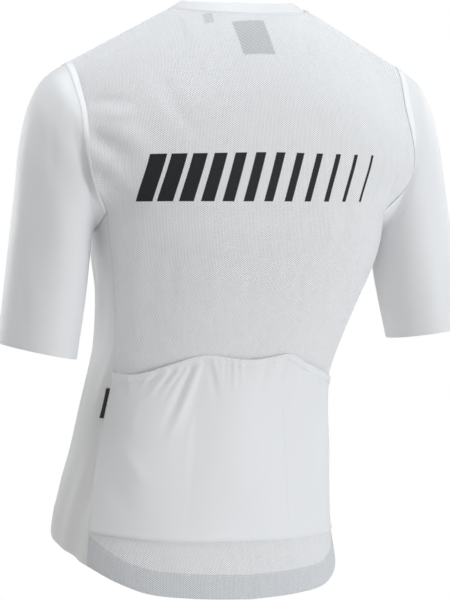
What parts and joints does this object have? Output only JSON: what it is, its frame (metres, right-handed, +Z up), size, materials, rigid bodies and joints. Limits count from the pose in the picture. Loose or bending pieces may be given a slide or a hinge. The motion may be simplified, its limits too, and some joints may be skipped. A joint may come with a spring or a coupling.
{
  "type": "cycling jersey",
  "caption": "Short-sleeved cycling jersey in its worn form: mesh back, smooth fronts and sleeves, low collar, full front zip and back pockets.",
  "frame": {"origin": "midway between the two neck points, where the collar crosses the shoulder lines and the wearer's shoulders hold the jersey up", "axes": "+X towards the wearer's left, +Y towards the wearer's back, +Z up"},
  "size_m": [0.582, 0.2776, 0.6887],
  "materials": {
    "mesh_white": "fine see-through polyester mesh, matte",
    "smooth_white": "smooth stretch jersey with a soft sheen",
    "tape_white": "flat elastic tape",
    "zip_white": "woven zip tape and nylon coil",
    "zip_metal": "satin metal",
    "label_black": "woven label, matte",
    "label_grey": "heat-sealed film, matte"
  },
  "bodies": {
    "jersey": {"back_panel": "mesh_white", "collar": "smooth_white", "hem_facing": "mesh_white", "left_armhole_tape": "tape_white", "left_front": "smooth_white", "left_sleeve": "smooth_white", "left_zip_tape": "zip_white", "loop_label": "label_black", "neck_label": "label_grey", "pocket_binding": "tape_white", "pocket_panel": "smooth_white", "right_armhole_tape": "tape_white", "right_front": "smooth_white", "right_sleeve": "smooth_white", "right_zip_tape": "zip_white", "size_tab": "label_grey", "zip_chain": "zip_white", "zip_slider": "zip_metal", "zip_stop": "zip_white"},
    "zip_pull": {"zip_pull": "zip_metal"}
  },
  "joints": [
    {"name": "zip_pull_hinge", "type": "hinge", "parent": "jersey", "child": "zip_pull", "pos_m": [0, -0.07529, -0.06626], "axis": [-1, 0, 0], "range_deg": [0, 160]}
  ]
}
